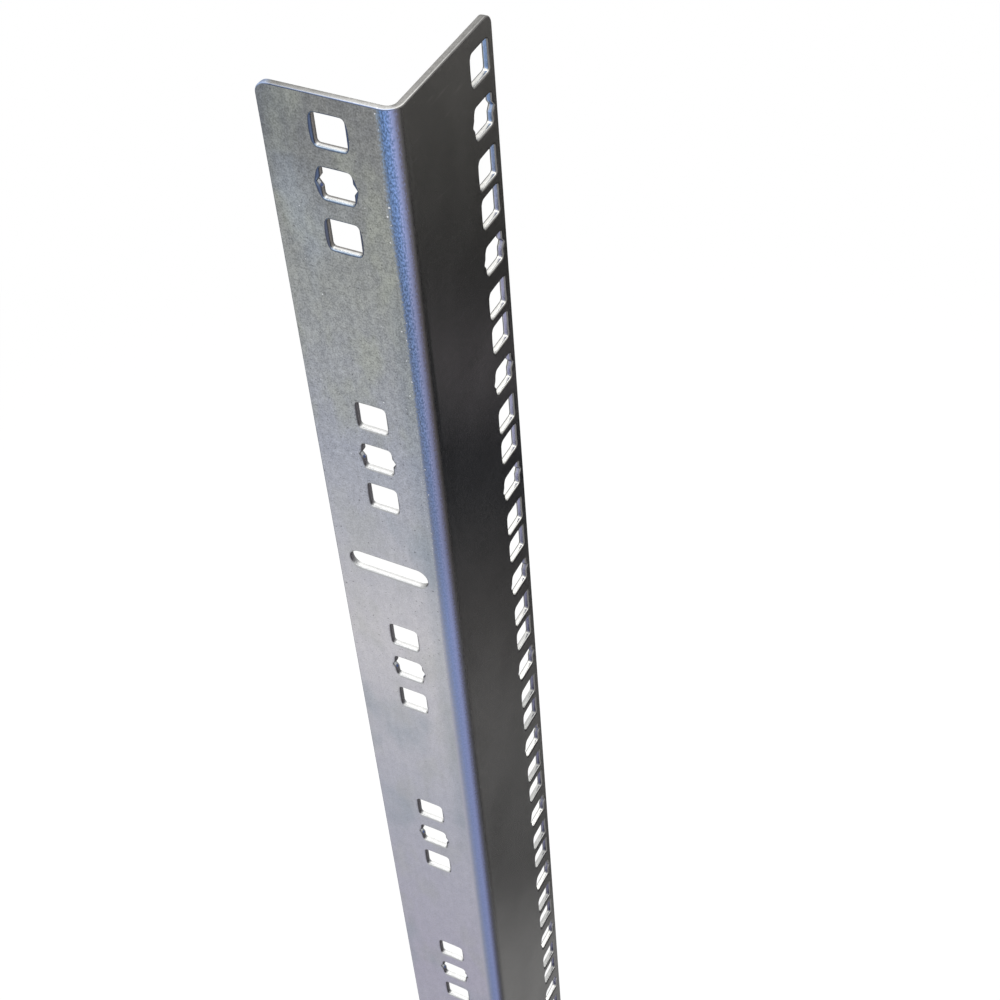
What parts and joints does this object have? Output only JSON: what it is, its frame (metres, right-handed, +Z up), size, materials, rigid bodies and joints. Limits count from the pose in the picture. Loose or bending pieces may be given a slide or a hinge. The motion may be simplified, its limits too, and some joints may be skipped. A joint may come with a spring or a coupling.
{
  "type": "rack mounting rail",
  "caption": "Folded L-section steel rack rail with square cage-nut holes along its front flange, grouped square holes and cross slots on its side flange, zinc plated.",
  "frame": {"origin": "on the outer face of the side flange, on its line of holes, at the rail's bottom end", "axes": "+Z up along the rail, -Y out of the front flange towards the equipment, -X out of the side flange towards the rack's side"},
  "size_m": [0.05, 0.04, 0.8091],
  "materials": {
    "zinc_plated_steel": "satin zinc plating with a faint blue passivation, bare bright punched edges"
  },
  "bodies": {
    "root": {"rail": "zinc_plated_steel"}
  },
  "joints": []
}
